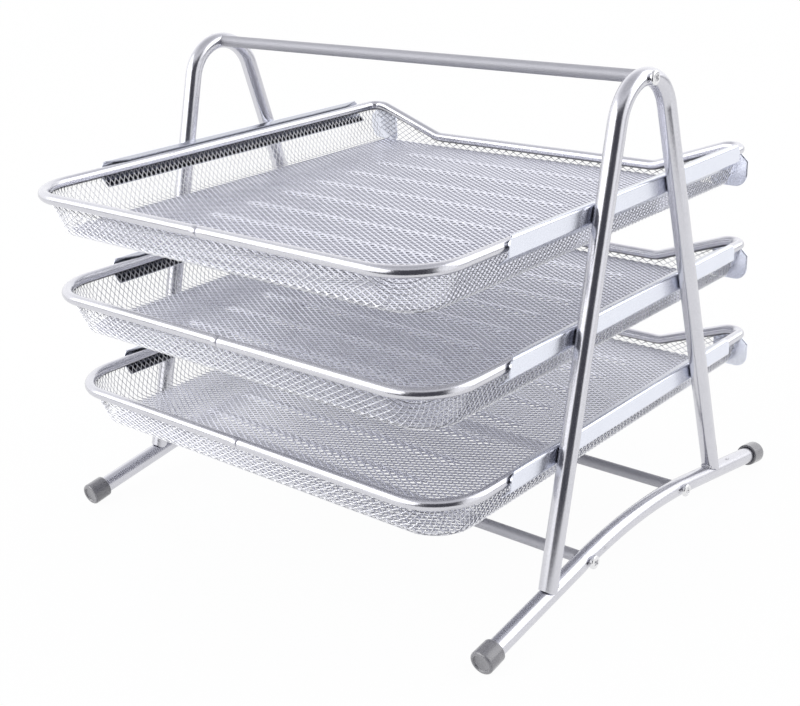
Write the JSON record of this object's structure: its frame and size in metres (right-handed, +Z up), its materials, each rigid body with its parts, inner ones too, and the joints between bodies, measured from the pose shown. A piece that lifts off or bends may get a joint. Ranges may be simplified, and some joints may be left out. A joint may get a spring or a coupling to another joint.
{
  "type": "tiered desk organizer",
  "caption": "Tiered desk organizer with sliding mesh letter trays in rails between two tube frames on bowed feet, with a carrying handle bar on top.",
  "frame": {"origin": "on the desk, under the middle of the whole object's box", "axes": "+Z up; +Y towards the front, the edge of the trays that dips and towards which they are drawn out; +X to the right along the handle bar"},
  "size_m": [0.3344, 0.3378, 0.2855],
  "materials": {
    "silver_tube": "silver powder coat, satin",
    "silver_rails": "silver powder coat, satin",
    "silver_mesh": "silver powder coat on expanded sheet",
    "grey_caps": "moulded, matt",
    "bright_screws": "bright plated"
  },
  "bodies": {
    "frame": {"left_hoop": "silver_tube", "right_hoop": "silver_tube", "left_foot_tube": "silver_tube", "right_foot_tube": "silver_tube", "left_rear_cap": "grey_caps", "left_front_cap": "grey_caps", "right_rear_cap": "grey_caps", "right_front_cap": "grey_caps", "handle_bar": "silver_tube", "rear_tie_bar": "silver_tube", "front_tie_bar": "silver_tube", "handle_screws": "bright_screws", "tie_screws": "bright_screws", "left_top_rail": "silver_rails", "left_middle_rail": "silver_rails", "left_bottom_rail": "silver_rails", "right_top_rail": "silver_rails", "right_middle_rail": "silver_rails", "right_bottom_rail": "silver_rails"},
    "top_tray": {"top_rim": "silver_tube", "top_basket": "silver_mesh", "top_left_stop_plate": "silver_tube", "top_right_stop_plate": "silver_tube"},
    "middle_tray": {"middle_rim": "silver_tube", "middle_basket": "silver_mesh", "middle_left_stop_plate": "silver_tube", "middle_right_stop_plate": "silver_tube"},
    "bottom_tray": {"bottom_rim": "silver_tube", "bottom_basket": "silver_mesh", "bottom_left_stop_plate": "silver_tube", "bottom_right_stop_plate": "silver_tube"}
  },
  "joints": [
    {"name": "top_tray_slide", "type": "slide", "parent": "frame", "child": "top_tray", "axis": [0, 1, 0], "range_m": [-0.0142, 0.15]},
    {"name": "middle_tray_slide", "type": "slide", "parent": "frame", "child": "middle_tray", "axis": [0, 1, 0], "range_m": [-0.0212, 0.143]},
    {"name": "bottom_tray_slide", "type": "slide", "parent": "frame", "child": "bottom_tray", "axis": [0, 1, 0], "range_m": [-0.0287, 0.1355]}
  ]
}
